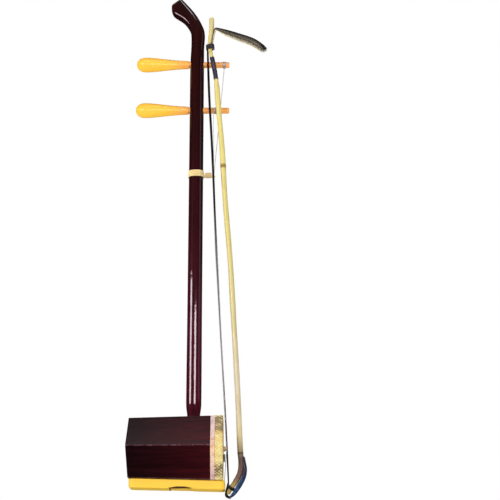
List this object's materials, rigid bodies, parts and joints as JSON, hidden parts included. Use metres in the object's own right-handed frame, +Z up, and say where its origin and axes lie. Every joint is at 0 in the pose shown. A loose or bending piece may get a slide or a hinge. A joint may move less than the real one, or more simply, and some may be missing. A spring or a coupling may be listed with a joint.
{
  "type": "erhu",
  "caption": "Erhu with a dark lacquered neck and six-sided snakeskin box, yellow pegs and base, and its bamboo bow parked between the two strings.",
  "frame": {"origin": "middle of the flat underside of the base, under the middle of the box's width", "axes": "+X to the front, where the snake skin is; +Y to the player's left; +Z up the neck"},
  "size_m": [0.1958, 0.1083, 0.7522],
  "materials": {
    "lacquered_rosewood": "very dark red-brown hardwood under a high-gloss lacquer",
    "lattice_wood": "dark carved hardwood, satin lacquer",
    "yellow_wood": "yellow boxwood, softly polished",
    "bridge_wood": "pale maple, bare",
    "bamboo": "pale yellow bamboo with its natural skin",
    "snakeskin": "stretched python skin, cream scales with olive patches",
    "binding_strip": "pale pinkish glued strip",
    "string_steel": "plain and wound steel string",
    "thread": "gold-yellow waxed thread",
    "felt": "dark grey felt",
    "black_horsehair": "black horsehair and black binding thread",
    "dark_sleeve": "dark purple-black tape, satin",
    "frog_shell": "blue-black moulded shell",
    "pin_brass": "brass rod"
  },
  "bodies": {
    "instrument": {"base": "yellow_wood", "foot_screw": "string_steel", "string_toggle": "pin_brass", "stave_top": "lacquered_rosewood", "stave_bottom": "lacquered_rosewood", "stave_left_upper": "lacquered_rosewood", "stave_left_lower": "lacquered_rosewood", "stave_right_upper": "lacquered_rosewood", "stave_right_lower": "lacquered_rosewood", "python_skin": "snakeskin", "skin_binding": "binding_strip", "rear_lattice": "lattice_wood", "neck": "lacquered_rosewood", "qianjin_wrap": "thread", "qianjin_loop": "thread", "bridge": "bridge_wood", "damper_pad": "felt", "inner_string": "string_steel", "outer_string": "string_steel"},
    "upper_peg": {"upper_peg": "yellow_wood", "upper_winding": "string_steel"},
    "lower_peg": {"lower_peg": "yellow_wood", "lower_winding": "string_steel"},
    "bow": {"bow_stick": "bamboo", "bow_hair": "black_horsehair", "bow_tip_sleeve": "dark_sleeve", "bow_tip_tie": "black_horsehair", "hair_tail": "black_horsehair", "frog": "frog_shell", "frog_binding": "black_horsehair"}
  },
  "joints": [
    {"name": "upper_peg_turn", "type": "hinge", "parent": "instrument", "child": "upper_peg", "pos_m": [0.02, 0, 0.634], "axis": [1, 0, 0], "continuous": true},
    {"name": "lower_peg_turn", "type": "hinge", "parent": "instrument", "child": "lower_peg", "pos_m": [0.02, 0, 0.56], "axis": [1, 0, 0], "continuous": true},
    {"name": "bow_turn", "type": "hinge", "parent": "instrument", "child": "bow", "pos_m": [0.06199, 0, 0.14], "axis": [0.9052, -0.4226, 0.0453], "range_deg": [0, 90]}
  ]
}
